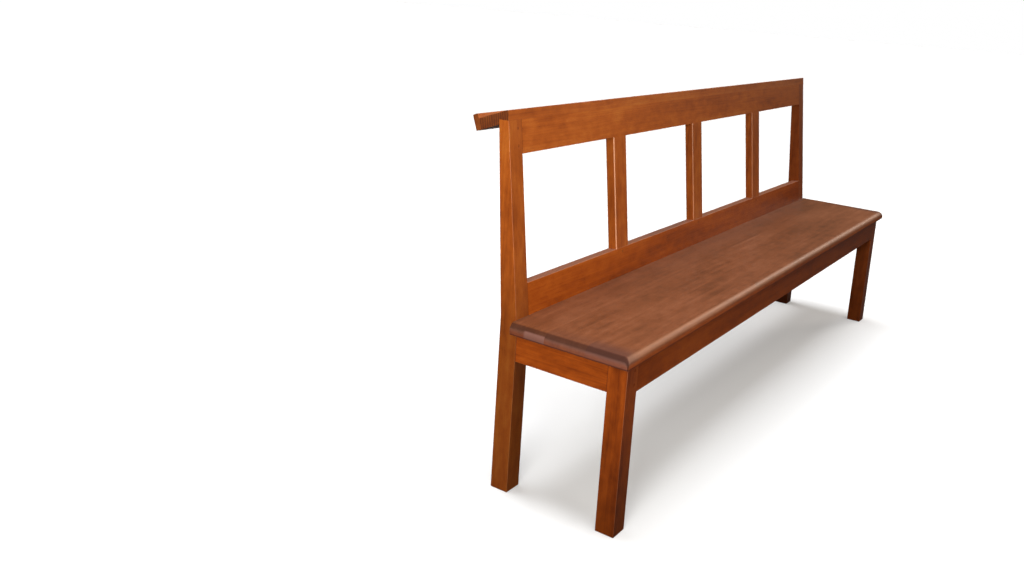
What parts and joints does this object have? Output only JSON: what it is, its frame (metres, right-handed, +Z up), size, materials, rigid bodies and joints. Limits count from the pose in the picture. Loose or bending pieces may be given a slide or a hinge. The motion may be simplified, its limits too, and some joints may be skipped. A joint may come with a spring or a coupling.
{
  "type": "church pew",
  "caption": "Long open-backed hardwood bench with square legs, upright bars between two back rails and a sloping book ledge with a lip.",
  "frame": {"origin": "on the floor, at the centre of the pew's bounding box seen from above", "axes": "+X along the pew, from the sitter's right to the sitter's left; the sitter faces -Y; +Z up"},
  "size_m": [2.086, 0.4846, 0.9466],
  "materials": {
    "frame_timber": "red-brown hardwood, satin varnish",
    "seat_timber": "brown hardwood, satin varnish",
    "ledge_timber": "red-brown hardwood, satin varnish",
    "peg_timber": "end grain, dark, satin varnish",
    "inner_timber": "unvarnished hardwood",
    "steel": "plain"
  },
  "bodies": {
    "root": {"left_front_leg": "frame_timber", "right_front_leg": "frame_timber", "left_rear_post": "frame_timber", "right_rear_post": "frame_timber", "front_apron": "frame_timber", "rear_apron": "frame_timber", "left_end_apron": "frame_timber", "right_end_apron": "frame_timber", "left_seat_bearer": "inner_timber", "middle_seat_bearer": "inner_timber", "right_seat_bearer": "inner_timber", "lower_back_rail": "frame_timber", "top_back_rail": "frame_timber", "left_muntin": "frame_timber", "middle_muntin": "frame_timber", "right_muntin": "frame_timber", "front_seat_plank": "seat_timber", "middle_seat_plank": "seat_timber", "rear_seat_plank": "seat_timber", "ledge_board": "ledge_timber", "ledge_lip": "ledge_timber", "front_apron_pegs": "peg_timber", "rear_apron_pegs": "peg_timber", "lower_rail_pegs": "peg_timber", "top_rail_pegs": "peg_timber", "muntin_pegs": "peg_timber", "ledge_dowels": "inner_timber", "lip_pins": "steel", "seat_buttons": "inner_timber", "button_screws": "steel", "bearer_screws": "steel"}
  },
  "joints": []
}
